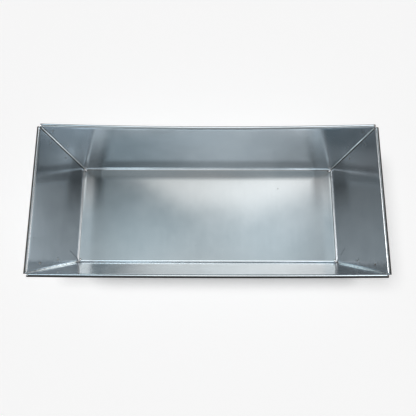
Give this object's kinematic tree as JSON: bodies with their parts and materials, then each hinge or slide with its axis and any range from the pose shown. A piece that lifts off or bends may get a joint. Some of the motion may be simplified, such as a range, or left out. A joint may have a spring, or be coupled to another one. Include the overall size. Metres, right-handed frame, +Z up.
{
  "type": "paint roller tray",
  "caption": "Open, flat-bottomed roller tray of galvanised sheet steel with outward-leaning walls, rolled wired edges and folded, riveted corners.",
  "frame": {"origin": "centre of the underside of the floor", "axes": "+X along the tray's length, +Y across its width, +Z up out of the open top"},
  "size_m": [0.4, 0.178, 0.1087],
  "materials": {
    "galvanised_steel": "bright galvanised sheet, satin with faint grain, light stains and scratches",
    "rim_wire_steel": "drawn steel wire, dull",
    "rivet_steel": "plain steel with spots of rust",
    "solder": "soft solder, slightly wavy and satin"
  },
  "bodies": {
    "root": {"tray_sheet": "galvanised_steel", "front_rim_wire": "rim_wire_steel", "back_rim_wire": "rim_wire_steel", "left_rim_wire": "rim_wire_steel", "right_rim_wire": "rim_wire_steel", "front_left_lower_rivet": "rivet_steel", "front_left_upper_rivet": "rivet_steel", "back_left_lower_rivet": "rivet_steel", "back_left_upper_rivet": "rivet_steel", "front_right_lower_rivet": "rivet_steel", "front_right_upper_rivet": "rivet_steel", "back_right_lower_rivet": "rivet_steel", "back_right_upper_rivet": "rivet_steel", "front_left_seam": "solder", "back_left_seam": "solder", "front_right_seam": "solder", "back_right_seam": "solder"}
  },
  "joints": []
}
